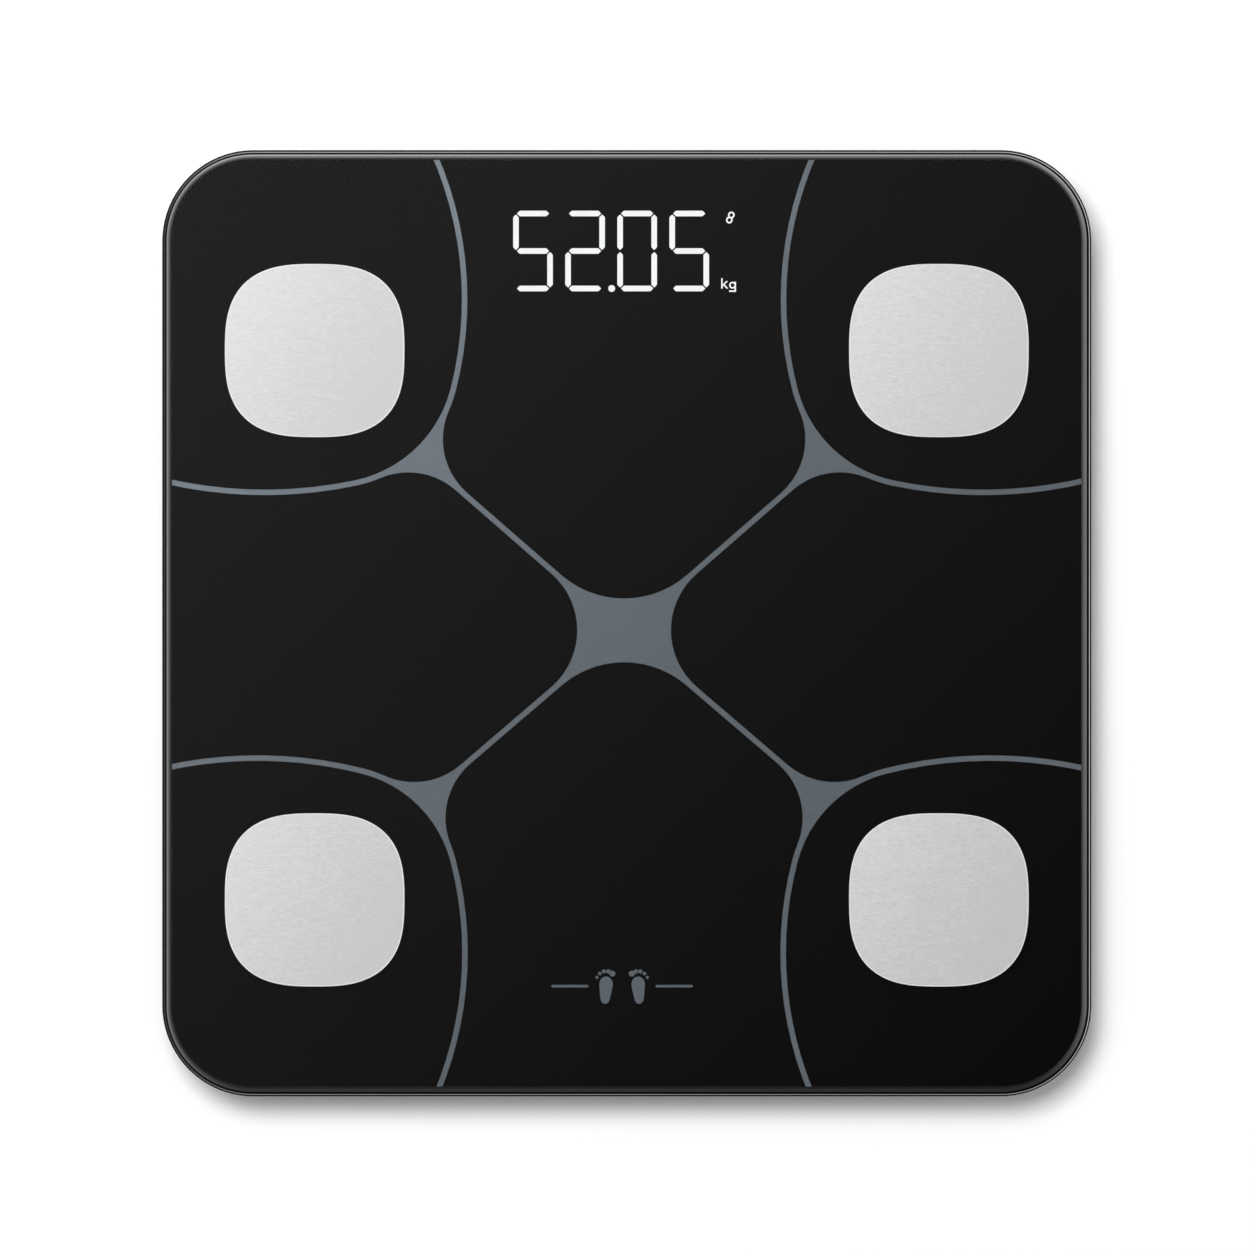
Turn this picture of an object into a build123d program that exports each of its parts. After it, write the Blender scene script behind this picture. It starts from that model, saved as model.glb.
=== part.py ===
from build123d import *
import os
from math import copysign, cos, pi, radians, sin, sqrt, tan

os.makedirs("parts", exist_ok=True)

# Digital bathroom scale. Millimetres, +Z up, +Y towards the display, the floor at z = 0 and the origin
# under the middle of the glass plate.

# ---------------------------------------------------------------- driving dimensions

# Glass plate
plate_width = 260.0
plate_depth = 264.8
plate_corner_radius = 25.5
glass_thickness = 6.0
glass_edge_round = 3.0
glass_arris = 0.5

# Heights above the floor
skin_bottom_z = 4.0
skin_top_z = 6.0
cell_bottom_z = 9.5
cell_thickness = 1.5
pocket_top_z = 12.8
carrier_deck_z = 14.8
housing_top_z = 18.2
ink_bottom_z = 19.0
ink_thickness = 0.1
glass_bottom_z = ink_bottom_z + 2 * ink_thickness
glass_top_z = glass_bottom_z + glass_thickness
cell_top_z = cell_bottom_z + cell_thickness

# Housing tray: how far its side wall stands in from the edge of the glass
housing_inset_bottom = 9.0
housing_inset_top = 1.5
housing_wall = 2.4
housing_edge_round = 1.6
tape_width = 4.6

# Feet and what stands above each foot
foot_x = 88.0
foot_y = 90.0
foot_opening_radius = 22.5
cup_radius = 22.0
cup_wall = 1.6
cup_bottom_z = 2.0
pad_radius = 19.0
pad_thickness = 2.6
foot_travel = 0.8
pocket_inner_radius = 24.3
pocket_wall = 1.6
carrier_radius = 24.0
boss_circle_radius = 28.6
boss_turns = (-90, 30, 150)
boss_radius = 3.2
load_cell_size = 34.0

# Screws into plastic bosses
screw_radius = 1.25
pilot_radius = 1.3
screw_head_radius = 2.4
screw_head_height = 1.5

# Electrodes
electrode_width = 50.2
electrode_depth = 48.4
electrode_exponent = 2.78
electrode_thickness = 0.4
electrode_x = 87.2
electrode_rear_y = 76.2
electrode_front_y = 77.3
stud_shift_x = 16.0
stud_shift_y = 18.0
stud_radius = 1.5
stud_bottom_z = 14.6
glass_hole_radius = 2.5

# Printed line pattern, drawn for the right-hand side, with y counted away from the middle
line_width = 1.52
pattern_x = -0.75
side_arc = {"rear": (45.4, 90.7, 100.6), "front": (45.3, 92.3, 101.1)}
cross_arc = {"rear": (100.6, 37.4, 122.7), "front": (102.6, 38.5, 119.8)}
corner_bend = {"rear": 35.0, "front": 34.3}
diagonal_slope = {"rear": 0.872, "front": 0.857}
diagonal_height = {"rear": -2.85, "front": 1.41}
wedge_apex_radius = 26.8
side_tip_radius = 21.0
junction_radius = 20.0
junction_span_x = (52.0, 62.0)
junction_span_y = (36.0, 56.0)
pattern_reach = 170.0

# Printed sole mark
mark_x = -1.3
mark_y = -101.6
sole_shift = 4.4
sole_ball_radii = (1.9, 2.3)
sole_heel_radii = (1.35, 1.75)
toe_radii = (0.82, 0.62, 0.56, 0.5, 0.44)
first_toe_turn = 128.0
toe_step = 25.0
rule_shift = 14.6
rule_length = 10.4
rule_width = 0.7

# Display
digit_left_x = -31.8
digit_pitch = 14.58
digit_width = 11.1
digit_bottom_y = 92.95
digit_height = 22.55
segment_stroke = 1.56
segment_gap = 0.55
point_radius = 0.95
point_shift = 13.0
sign_stroke = 0.42
kg_x = 26.65
kg_y = 93.7
kg_ascender = 2.9
kg_bowl_x = 29.62
kg_bowl_radius = 0.96
link_x = 29.0
link_y = 113.6
link_length = 1.95
link_width = 1.85
link_stroke = 0.45
link_slope = 68.0
window_width = 70.0
window_depth = 30.0
window_x = -0.6
window_y = 104.0
pipe_bottom_z = 14.2

# Main board
board_width = 84.0
board_depth = 38.0
board_y = 101.0
board_bottom_z = 11.4
board_thickness = 1.6
board_top_z = board_bottom_z + board_thickness
connector_face_y = 82.6

# Unit button under the board
button_x = 28.0
button_y = 94.0
button_radius = 4.5
button_travel = 0.5

# Battery bay: three AAA cells side by side, lengthwise along X
bay_y = 30.0
bay_half_length = 25.2
bay_half_depth = 18.0
bay_wall = 1.6
bay_ceiling_z = 17.3
battery_radius = 5.25
battery_length = 44.5
battery_pitch = 11.6
battery_z = 11.75
contact_thickness = 0.4

# Battery door
door_half_length = 27.0
door_gap = 0.3
door_top_z = 5.9
hinge_y = 8.8
hinge_z = 5.2
hinge_radius = 1.2
hinge_pin_radius = 0.7
hinge_hole_radius = 0.75
hinge_pin_length = 1.8
door_front_y = 50.0


# ---------------------------------------------------------------- shared layout

feet = {
    "rear_left": (-foot_x, foot_y),
    "rear_right": (foot_x, foot_y),
    "front_left": (-foot_x, -foot_y),
    "front_right": (foot_x, -foot_y),
}
electrodes = {
    "rear_left": (-electrode_x, electrode_rear_y),
    "rear_right": (electrode_x, electrode_rear_y),
    "front_left": (-electrode_x, -electrode_front_y),
    "front_right": (electrode_x, -electrode_front_y),
}


def sign(value):
    """Which side of the middle a coordinate is on: 1 or -1."""
    return copysign(1, value)


def stud_place(corner):
    """The stud stands nearer the middle of the plate than its electrode, clear of the foot."""
    x, y = electrodes[corner]
    return (x - sign(x) * stud_shift_x, y - sign(y) * stud_shift_y)


def boss_places(corner):
    """Three screw places round a foot, one of them towards the middle of the scale."""
    x, y = feet[corner]
    places = []
    for turn in boss_turns:
        along_x = boss_circle_radius * cos(radians(turn))
        along_y = boss_circle_radius * sin(radians(turn))
        places.append((x + along_x, y + sign(y) * along_y))
    return places


stud_places = [stud_place(corner) for corner in electrodes]
all_boss_places = [place for corner in feet for place in boss_places(corner)]
board_screw_places = [
    (side * (board_width / 2 - 3.5), board_y + end * (board_depth / 2 - 3.5))
    for side in (-1, 1)
    for end in (-1, 1)
]
battery_ys = [bay_y + battery_pitch * step for step in (-1, 0, 1)]


def plate_outline(inset, mode=Mode.ADD):
    """The plate's rounded outline, drawn in by the inset."""
    RectangleRounded(
        plate_width - 2 * inset,
        plate_depth - 2 * inset,
        plate_corner_radius - inset,
        mode=mode,
    )


def superellipse(width, depth, exponent, count=40):
    """Points on |2x/width|^n + |2y/depth|^n = 1."""
    points = []
    for step in range(count):
        angle = 2 * pi * step / count
        x = width / 2 * sign(cos(angle)) * abs(cos(angle)) ** (2 / exponent)
        y = depth / 2 * sign(sin(angle)) * abs(sin(angle)) ** (2 / exponent)
        points.append((x, y))
    return points


def save(piece, name):
    """Label one finished piece and write it under its own name."""
    piece.part.label = name
    export_step(piece.part, f"parts/{name}.step")


# ---------------------------------------------------------------- glass plate

with BuildPart() as glass_plate:
    with BuildSketch(Plane.XY.offset(glass_bottom_z)):
        plate_outline(0)
    extrude(amount=glass_thickness)
    fillet(glass_plate.faces().sort_by(Axis.Z)[-1].edges(), radius=glass_edge_round)
    chamfer(glass_plate.faces().sort_by(Axis.Z)[0].edges(), length=glass_arris)
    with BuildSketch(Plane.XY.offset(glass_bottom_z)):
        with Locations(*stud_places):
            Circle(glass_hole_radius)
    extrude(amount=glass_thickness, mode=Mode.SUBTRACT)
save(glass_plate, "glass_plate")


# ---------------------------------------------------------------- printed pattern


def corner_cell(half):
    """The dark cell in the right-hand corner: two large arcs that meet in a softer bend."""
    side_x, side_y, side_radius = side_arc[half]
    cross_x, cross_y, cross_radius = cross_arc[half]
    with BuildSketch() as cell:
        with Locations((side_x + side_radius, side_y)):
            Circle(side_radius)
        with Locations((cross_x, cross_y + cross_radius)):
            Circle(cross_radius, mode=Mode.INTERSECT)
        fillet(cell.vertices().sort_by(Axis.X)[0], radius=corner_bend[half])
    return cell.sketch


def diagonal_edge(half, side):
    """Slope and height at x = 0 of one edge of the diagonal line."""
    slope = diagonal_slope[half]
    shift = line_width / 2 * sqrt(1 + slope**2)
    return slope, diagonal_height[half] + side * shift


def junctions(cell):
    """The corners of a cell where a diagonal meets a corner cell's line."""
    near_x, far_x = junction_span_x
    near_y, far_y = junction_span_y
    return [
        corner
        for corner in cell.vertices()
        if near_x < abs(corner.X) < far_x and near_y < abs(corner.Y) < far_y
    ]


def wedge_cell(half, grown_corner):
    """The dark cell behind or in front of the middle, between two corner cells."""
    slope, height = diagonal_edge(half, 1)
    with BuildSketch() as cell:
        with BuildLine():
            Polyline(
                (0, height),
                (pattern_reach, height + slope * pattern_reach),
                (-pattern_reach, height + slope * pattern_reach),
                close=True,
            )
        make_face()
        fillet(cell.vertices().sort_by(Axis.Y)[0], radius=wedge_apex_radius)
        add(grown_corner, mode=Mode.SUBTRACT)
        add(mirror(grown_corner, about=Plane.YZ), mode=Mode.SUBTRACT)
        fillet(junctions(cell), radius=junction_radius)
    return cell.sketch


def side_cell(grown_rear, grown_front):
    """The dark cell on the right, between the rear and front corner cells."""
    rear_slope, rear_height = diagonal_edge("rear", -1)
    front_slope, front_height = diagonal_edge("front", -1)
    tip_x = -(rear_height + front_height) / (rear_slope + front_slope)
    tip_y = rear_height + rear_slope * tip_x
    with BuildSketch() as cell:
        with BuildLine():
            Polyline(
                (tip_x, tip_y),
                (pattern_reach, rear_height + rear_slope * pattern_reach),
                (pattern_reach, -front_height - front_slope * pattern_reach),
                close=True,
            )
        make_face()
        fillet(cell.vertices().sort_by(Axis.X)[0], radius=side_tip_radius)
        add(grown_rear, mode=Mode.SUBTRACT)
        add(mirror(grown_front, about=Plane.XZ), mode=Mode.SUBTRACT)
        fillet(junctions(cell), radius=junction_radius)
    return cell.sketch


def sole_mark():
    """A pair of bare soles between two short rules, a sign for where to stand."""
    with BuildSketch() as sole:
        with Locations((0.1, 0.4)):
            Ellipse(*sole_ball_radii)
        with Locations((0.35, -3.2)):
            Ellipse(*sole_heel_radii)
        make_hull()
        for number, toe_radius in enumerate(toe_radii):
            turn = radians(first_toe_turn - toe_step * number)
            with Locations((0.1 + 2.9 * cos(turn), 0.9 + 3.3 * sin(turn))):
                Circle(toe_radius)
    with BuildSketch() as mark:
        with Locations((sole_shift, 0)):
            add(sole.sketch)
        mirror(about=Plane.YZ)
        with Locations((-rule_shift, 0), (rule_shift, 0)):
            RectangleRounded(rule_length, rule_width, 0.3)
    return mark.sketch


corners = {half: corner_cell(half) for half in ("rear", "front")}
grown_corners = {half: offset(corners[half], amount=line_width) for half in corners}
right_side = side_cell(grown_corners["rear"], grown_corners["front"])
rear_wedge = wedge_cell("rear", grown_corners["rear"])
front_wedge = wedge_cell("front", grown_corners["front"])

with BuildSketch() as pattern:
    add(corners["rear"])
    add(mirror(corners["front"], about=Plane.XZ))
    add(right_side)
    mirror(about=Plane.YZ)
    add(rear_wedge)
    add(mirror(front_wedge, about=Plane.XZ))

with BuildSketch() as dark_cells:
    add(pattern.sketch.moved(Location((pattern_x, 0, 0))))
    plate_outline(glass_arris, mode=Mode.INTERSECT)


def ink_openings():
    """Holes in a printed layer for the display window and the electrode studs."""
    with Locations((window_x, window_y)):
        RectangleRounded(window_width, window_depth, 2, mode=Mode.SUBTRACT)
    with Locations(*stud_places):
        Circle(glass_hole_radius, mode=Mode.SUBTRACT)


with BuildPart() as print_black:
    with BuildSketch(Plane.XY.offset(ink_bottom_z + ink_thickness)):
        add(dark_cells.sketch)
        ink_openings()
        add(sole_mark().moved(Location((mark_x, mark_y, 0))), mode=Mode.SUBTRACT)
    extrude(amount=ink_thickness)
save(print_black, "print_black")

with BuildPart() as print_grey:
    with BuildSketch(Plane.XY.offset(ink_bottom_z)):
        plate_outline(glass_arris)
        ink_openings()
    extrude(amount=ink_thickness)
save(print_grey, "print_grey")


# ---------------------------------------------------------------- display

segments_of = {"5": "acdfg", "2": "abdeg", "0": "abcdef"}
reading = "5205"
lit_point = 1


def segment_places(names, digit):
    """Centres of the named segments of one digit: the horizontal ones, then the upright ones."""
    centre_x = digit_left_x + digit_pitch * digit + digit_width / 2
    centre_y = digit_bottom_y + digit_height / 2
    half_x = (digit_width - segment_stroke) / 2
    half_y = (digit_height - segment_stroke) / 2
    flat = {"a": half_y, "g": 0, "d": -half_y}
    upright = {"f": (-1, 1), "b": (1, 1), "e": (-1, -1), "c": (1, -1)}
    flat_places = [(centre_x, centre_y + flat[name]) for name in names if name in flat]
    upright_places = [
        (centre_x + upright[name][0] * half_x, centre_y + upright[name][1] * half_y / 2)
        for name in names
        if name in upright
    ]
    return flat_places, upright_places


def segment_bars(places, length, turn):
    """Bars with pointed ends."""
    end = length / 2
    shoulder = end - segment_stroke / 2
    side = segment_stroke / 2
    corners_of_bar = (
        (end, 0),
        (shoulder, side),
        (-shoulder, side),
        (-end, 0),
        (-shoulder, -side),
        (shoulder, -side),
    )
    with Locations(*places):
        Polygon(*corners_of_bar, rotation=turn)


def digits_sketch(lit):
    """All segments and points that are lit, or all that are not."""
    half_y = (digit_height - segment_stroke) / 2
    with BuildSketch() as digits:
        for digit, character in enumerate(reading):
            wanted = [name for name in "abcdefg" if (name in segments_of[character]) == lit]
            flat_places, upright_places = segment_places(wanted, digit)
            if flat_places:
                segment_bars(flat_places, digit_width - segment_stroke - segment_gap, 0)
            if upright_places:
                segment_bars(upright_places, half_y - segment_gap, 90)
            if digit < 3 and (digit == lit_point) == lit:
                point_x = digit_left_x + digit_pitch * digit + point_shift
                with Locations((point_x, digit_bottom_y + segment_stroke / 2)):
                    Circle(point_radius)
    return digits.sketch


def unit_sketch():
    """The kg sign at the lower right of the reading."""
    upper_arm = ((0, 0.35), (0, 0.9), (1.15, 2.1), (1.7, 2.1), (0.77, 1.15))
    lower_arm = ((1.8, 0), (1.25, 0), (0.48, 0.87))
    with BuildSketch() as unit:
        with Locations((kg_x, kg_y + kg_ascender / 2)):
            Rectangle(sign_stroke, kg_ascender)
        with Locations((kg_x, kg_y)):
            Polygon(*upper_arm, *lower_arm, align=None)
        with Locations((kg_bowl_x, kg_y + kg_bowl_radius)):
            Circle(kg_bowl_radius)
            Circle(kg_bowl_radius - sign_stroke, mode=Mode.SUBTRACT)
        with Locations((kg_bowl_x + kg_bowl_radius - sign_stroke / 2, kg_y + kg_bowl_radius - 0.45)):
            Rectangle(sign_stroke, kg_ascender)
        with Locations((kg_bowl_x, kg_y - 0.7)):
            Rectangle(2 * kg_bowl_radius, sign_stroke)
    return unit.sketch


def link_sketch():
    """Two joined chain links at the upper right of the reading."""
    reach = (link_length - link_stroke) / 2
    shift_x = reach * cos(radians(link_slope))
    shift_y = reach * sin(radians(link_slope))
    places = [(link_x + side * shift_x, link_y + side * shift_y) for side in (-1, 1)]
    with BuildSketch() as links:
        with Locations(*places):
            SlotOverall(link_length, link_width, rotation=link_slope)
        with Locations(*places):
            hole = (link_length - 2 * link_stroke, link_width - 2 * link_stroke)
            SlotOverall(*hole, rotation=link_slope, mode=Mode.SUBTRACT)
    return links.sketch


lit_digits = digits_sketch(True)
unlit_digits = digits_sketch(False)
lit_signs = unit_sketch() + link_sketch()

with BuildPart() as lit_segments:
    with BuildSketch(Plane.XY.offset(pipe_bottom_z)):
        add(lit_digits)
    extrude(amount=glass_bottom_z - pipe_bottom_z)
save(lit_segments, "lit_segments")

with BuildPart() as lit_marks:
    with BuildSketch(Plane.XY.offset(pipe_bottom_z)):
        add(lit_signs)
    extrude(amount=glass_bottom_z - pipe_bottom_z)
save(lit_marks, "lit_marks")

with BuildPart() as unlit_segments:
    with BuildSketch(Plane.XY.offset(pipe_bottom_z)):
        add(unlit_digits)
    extrude(amount=ink_bottom_z - pipe_bottom_z)
save(unlit_segments, "unlit_segments")

with BuildPart() as display_window:
    with BuildSketch(Plane.XY.offset(ink_bottom_z)):
        with Locations((window_x, window_y)):
            RectangleRounded(window_width, window_depth, 2)
        add(lit_digits, mode=Mode.SUBTRACT)
        add(lit_signs, mode=Mode.SUBTRACT)
    extrude(amount=2 * ink_thickness)
save(display_window, "display_window")

with BuildPart() as display_reflector:
    with BuildSketch(Plane.XY.offset(board_top_z)):
        with Locations((window_x, window_y)):
            Rectangle(window_width, window_depth)
    extrude(amount=ink_bottom_z - board_top_z)
    with BuildSketch(Plane.XY.offset(pipe_bottom_z)):
        add(lit_digits)
        add(unlit_digits)
        add(lit_signs)
    extrude(amount=ink_bottom_z - pipe_bottom_z, mode=Mode.SUBTRACT)
save(display_reflector, "display_reflector")


# ---------------------------------------------------------------- electrodes and what holds them

bush_flange_bottom_z = 18.0
terminal_bottom_z = 17.5
nut_bottom_z = 15.1

for corner, (x, y) in electrodes.items():
    with BuildPart() as electrode:
        with BuildSketch(Plane.XY.offset(glass_top_z)):
            with BuildLine(Plane((x, y, glass_top_z))):
                Spline(*superellipse(electrode_width, electrode_depth, electrode_exponent), periodic=True)
            make_face()
        extrude(amount=electrode_thickness)
        chamfer(electrode.faces().sort_by(Axis.Z)[-1].edges(), length=0.12)
        with BuildSketch(Plane.XY.offset(stud_bottom_z)):
            with Locations(stud_place(corner)):
                Circle(stud_radius)
        extrude(amount=glass_top_z - stud_bottom_z)
    save(electrode, f"electrode_{corner}")

with BuildPart() as electrode_bushes:
    with BuildSketch(Plane.XY.offset(bush_flange_bottom_z)):
        with Locations(*stud_places):
            Circle(4.0)
    extrude(amount=ink_bottom_z - bush_flange_bottom_z)
    with BuildSketch(Plane.XY.offset(ink_bottom_z)):
        with Locations(*stud_places):
            Circle(glass_hole_radius - 0.05)
    extrude(amount=glass_top_z - ink_bottom_z - 0.1)
    with BuildSketch(Plane.XY.offset(bush_flange_bottom_z)):
        with Locations(*stud_places):
            Circle(stud_radius + 0.05)
    extrude(amount=glass_top_z - bush_flange_bottom_z, mode=Mode.SUBTRACT)
save(electrode_bushes, "electrode_bushes")

with BuildPart() as electrode_terminals:
    with BuildSketch(Plane.XY.offset(terminal_bottom_z)):
        with Locations(*stud_places):
            Circle(3.3)
        for x, y in stud_places:
            with Locations((x - sign(x) * 4.6, y)):
                Rectangle(4.4, 2.2)
        with Locations(*stud_places):
            Circle(stud_radius + 0.1, mode=Mode.SUBTRACT)
    extrude(amount=bush_flange_bottom_z - terminal_bottom_z)
save(electrode_terminals, "electrode_terminals")

with BuildPart() as electrode_nuts:
    with BuildSketch(Plane.XY.offset(nut_bottom_z)):
        with Locations(*stud_places):
            RegularPolygon(5.5 / 2, 6, major_radius=False)
            Circle(stud_radius + 0.05, mode=Mode.SUBTRACT)
    extrude(amount=terminal_bottom_z - nut_bottom_z)
save(electrode_nuts, "electrode_nuts")


# ---------------------------------------------------------------- tapes under the glass

with BuildPart() as perimeter_tape:
    with BuildSketch(Plane.XY.offset(housing_top_z)):
        plate_outline(housing_inset_top + 0.3)
        plate_outline(housing_inset_top + 0.3 + tape_width, mode=Mode.SUBTRACT)
    extrude(amount=ink_bottom_z - housing_top_z)
save(perimeter_tape, "perimeter_tape")

with BuildPart() as carrier_tapes:
    with BuildSketch(Plane.XY.offset(housing_top_z)):
        with Locations(*feet.values()):
            Circle(carrier_radius - 0.2)
            Circle(8.8, mode=Mode.SUBTRACT)
    extrude(amount=ink_bottom_z - housing_top_z)
save(carrier_tapes, "carrier_tapes")


# ---------------------------------------------------------------- base housing

housing_height = housing_top_z - skin_bottom_z
wall_lean = (housing_inset_bottom - housing_inset_top) / housing_height
cavity_inset_bottom = housing_inset_bottom - wall_lean * (skin_top_z - skin_bottom_z) + housing_wall
cavity_inset_top = housing_inset_top + housing_wall
ledge_height = 1.4
ledge_half_length = 29.3
ledge_back_y = 5.5
ledge_front_y = 52.2
door_opening_back_y = hinge_y - hinge_radius - door_gap
door_opening_front_y = door_front_y + door_gap
ridge_half_length = 22.0
ridge_bottom_z = 15.2
gusset_depth = 6.0
gusset_thickness = 1.4
gusset_spots = [-90 + 30 * step for step in range(7)]
floor_rib_xs = (-22, 0, 22)
floor_rib_ys = (-84, -42)
floor_rib_height = 3.0
button_guide_radius = 6.6
scoop_radius = 8.2
scoop_width = 16.0
label_y = -62.0
label_width = 74.0
label_depth = 34.0
label_recess = 0.3


def box_between(low, high, mode=Mode.ADD):
    """An upright box between two opposite corners."""
    size = [b - a for a, b in zip(low, high)]
    middle = [(a + b) / 2 for a, b in zip(low, high)]
    with Locations(tuple(middle)):
        Box(*size, mode=mode)


def bay_shell():
    """Walls, ceiling and door ledge of the battery bay, and the ridges between the cells."""
    box_between(
        (-bay_half_length - bay_wall, bay_y - bay_half_depth - bay_wall, skin_top_z),
        (bay_half_length + bay_wall, bay_y + bay_half_depth + bay_wall, bay_ceiling_z + 1.4),
    )
    box_between(
        (-ledge_half_length, ledge_back_y, skin_top_z),
        (ledge_half_length, ledge_front_y, skin_top_z + ledge_height),
    )
    box_between(
        (-bay_half_length, bay_y - bay_half_depth, skin_bottom_z),
        (bay_half_length, bay_y + bay_half_depth, bay_ceiling_z),
        mode=Mode.SUBTRACT,
    )
    for side in (-1, 1):
        ridge_y = bay_y + side * battery_pitch / 2
        low = (-ridge_half_length, ridge_y - 1, ridge_bottom_z)
        box_between(low, (ridge_half_length, ridge_y + 1, bay_ceiling_z))


def door_opening():
    """The opening for the door, with a round seat for its hinge edge and two pin holes."""
    box_between(
        (-door_half_length - door_gap, hinge_y, skin_bottom_z),
        (door_half_length + door_gap, door_opening_front_y, skin_top_z),
        mode=Mode.SUBTRACT,
    )
    box_between(
        (-door_half_length - door_gap, door_opening_back_y, skin_bottom_z),
        (door_half_length + door_gap, hinge_y, hinge_z),
        mode=Mode.SUBTRACT,
    )
    with Locations(Location((0, hinge_y, hinge_z), (0, 90, 0))):
        Cylinder(hinge_radius + door_gap, 2 * (door_half_length + door_gap), mode=Mode.SUBTRACT)
        Cylinder(hinge_hole_radius, 2 * (door_half_length + hinge_pin_length + 0.3), mode=Mode.SUBTRACT)


def contact_slots():
    """Slots through the bay's end walls for the two solder tabs."""
    for side, y in ((-1, battery_ys[0]), (1, battery_ys[2])):
        with Locations((side * (bay_half_length + bay_wall / 2), y, battery_z)):
            Box(bay_wall + 0.4, 2.6, 1.0, mode=Mode.SUBTRACT)


def wall_gussets():
    """Upright ribs along the inside of the side walls, flush with the rim, under the tape."""
    reach = tape_width - housing_wall + 1
    side_x = plate_width / 2 - cavity_inset_top
    side_y = plate_depth / 2 - cavity_inset_top
    middle_z = housing_top_z - gusset_depth / 2
    for side in (-1, 1):
        with Locations(*[(side * (side_x - reach / 2 + 0.6), y, middle_z) for y in gusset_spots]):
            Box(reach + 1.2, gusset_thickness, gusset_depth)
        with Locations(*[(x, side * (side_y - reach / 2 + 0.6), middle_z) for x in gusset_spots]):
            Box(gusset_thickness, reach + 1.2, gusset_depth)


with BuildPart() as tray_outside:
    with BuildSketch(Plane.XY.offset(skin_bottom_z)):
        plate_outline(housing_inset_bottom)
    with BuildSketch(Plane.XY.offset(housing_top_z)):
        plate_outline(housing_inset_top)
    loft()
    fillet(tray_outside.faces().sort_by(Axis.Z)[0].edges(), radius=housing_edge_round)

with BuildPart() as base_housing:
    add(tray_outside.part)
    with BuildSketch(Plane.XY.offset(skin_top_z)):
        plate_outline(cavity_inset_bottom)
    with BuildSketch(Plane.XY.offset(housing_top_z)):
        plate_outline(cavity_inset_top)
    loft(mode=Mode.SUBTRACT)
    wall_gussets()
    add(tray_outside.part, mode=Mode.INTERSECT)
    # Foot pockets with their screw bosses
    with BuildSketch(Plane.XY.offset(skin_top_z)):
        with Locations(*feet.values()):
            Circle(pocket_inner_radius + pocket_wall)
        with Locations(*all_boss_places):
            Circle(boss_radius)
    extrude(amount=pocket_top_z - skin_top_z)
    with BuildSketch(Plane.XY.offset(skin_top_z)):
        with Locations(*feet.values()):
            Circle(pocket_inner_radius)
        with Locations(*all_boss_places):
            Circle(pilot_radius)
    extrude(amount=pocket_top_z - skin_top_z, mode=Mode.SUBTRACT)
    with BuildSketch(Plane.XY.offset(skin_bottom_z)):
        with Locations(*feet.values()):
            Circle(foot_opening_radius)
    extrude(amount=skin_top_z - skin_bottom_z, mode=Mode.SUBTRACT)
    # Notches for the load cell leads
    for x, y in feet.values():
        with Locations((x - sign(x) * (pocket_inner_radius + pocket_wall / 2), y, pocket_top_z - 1.1)):
            Box(3.0, 4.0, 2.2, mode=Mode.SUBTRACT)
    # Stiffening ribs on the floor, between the front feet and the battery bay
    rib_top_z = skin_top_z + floor_rib_height
    for x in floor_rib_xs:
        box_between((x - 0.7, -112, skin_top_z), (x + 0.7, ledge_back_y, rib_top_z))
    for y in floor_rib_ys:
        box_between((floor_rib_xs[0], y - 0.7, skin_top_z), (floor_rib_xs[-1], y + 0.7, rib_top_z))
    # Battery bay and door
    bay_shell()
    door_opening()
    contact_slots()
    # Board posts
    with BuildSketch(Plane.XY.offset(skin_top_z)):
        with Locations(*board_screw_places):
            Circle(3.0)
            Circle(pilot_radius, mode=Mode.SUBTRACT)
    extrude(amount=board_bottom_z - skin_top_z)
    # Guide ring and hole for the unit button
    with BuildSketch(Plane.XY.offset(skin_top_z)):
        with Locations((button_x, button_y)):
            Circle(button_guide_radius + 1.2)
            Circle(button_guide_radius, mode=Mode.SUBTRACT)
    extrude(amount=2.0)
    with BuildSketch(Plane.XY.offset(skin_bottom_z)):
        with Locations((button_x, button_y)):
            Circle(button_radius + 0.3)
    extrude(amount=skin_top_z - skin_bottom_z, mode=Mode.SUBTRACT)
    # Finger scoop beside the door, and a plain recess for a label
    with Locations(Location((0, door_opening_front_y + 2, skin_bottom_z - 7), (0, 90, 0))):
        Cylinder(scoop_radius, scoop_width, mode=Mode.SUBTRACT)
    with BuildSketch(Plane.XY.offset(skin_bottom_z)):
        with Locations((0, label_y)):
            RectangleRounded(label_width, label_depth, 3)
    extrude(amount=label_recess, mode=Mode.SUBTRACT)
save(base_housing, "base_housing")


# ---------------------------------------------------------------- load cells and their carriers

tongue_width = 20.0
slot_outer = 24.0
flex_pocket = 27.0
hook_drop = 0.6
hook_reach = 2.8
hook_width = 6.0

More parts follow.
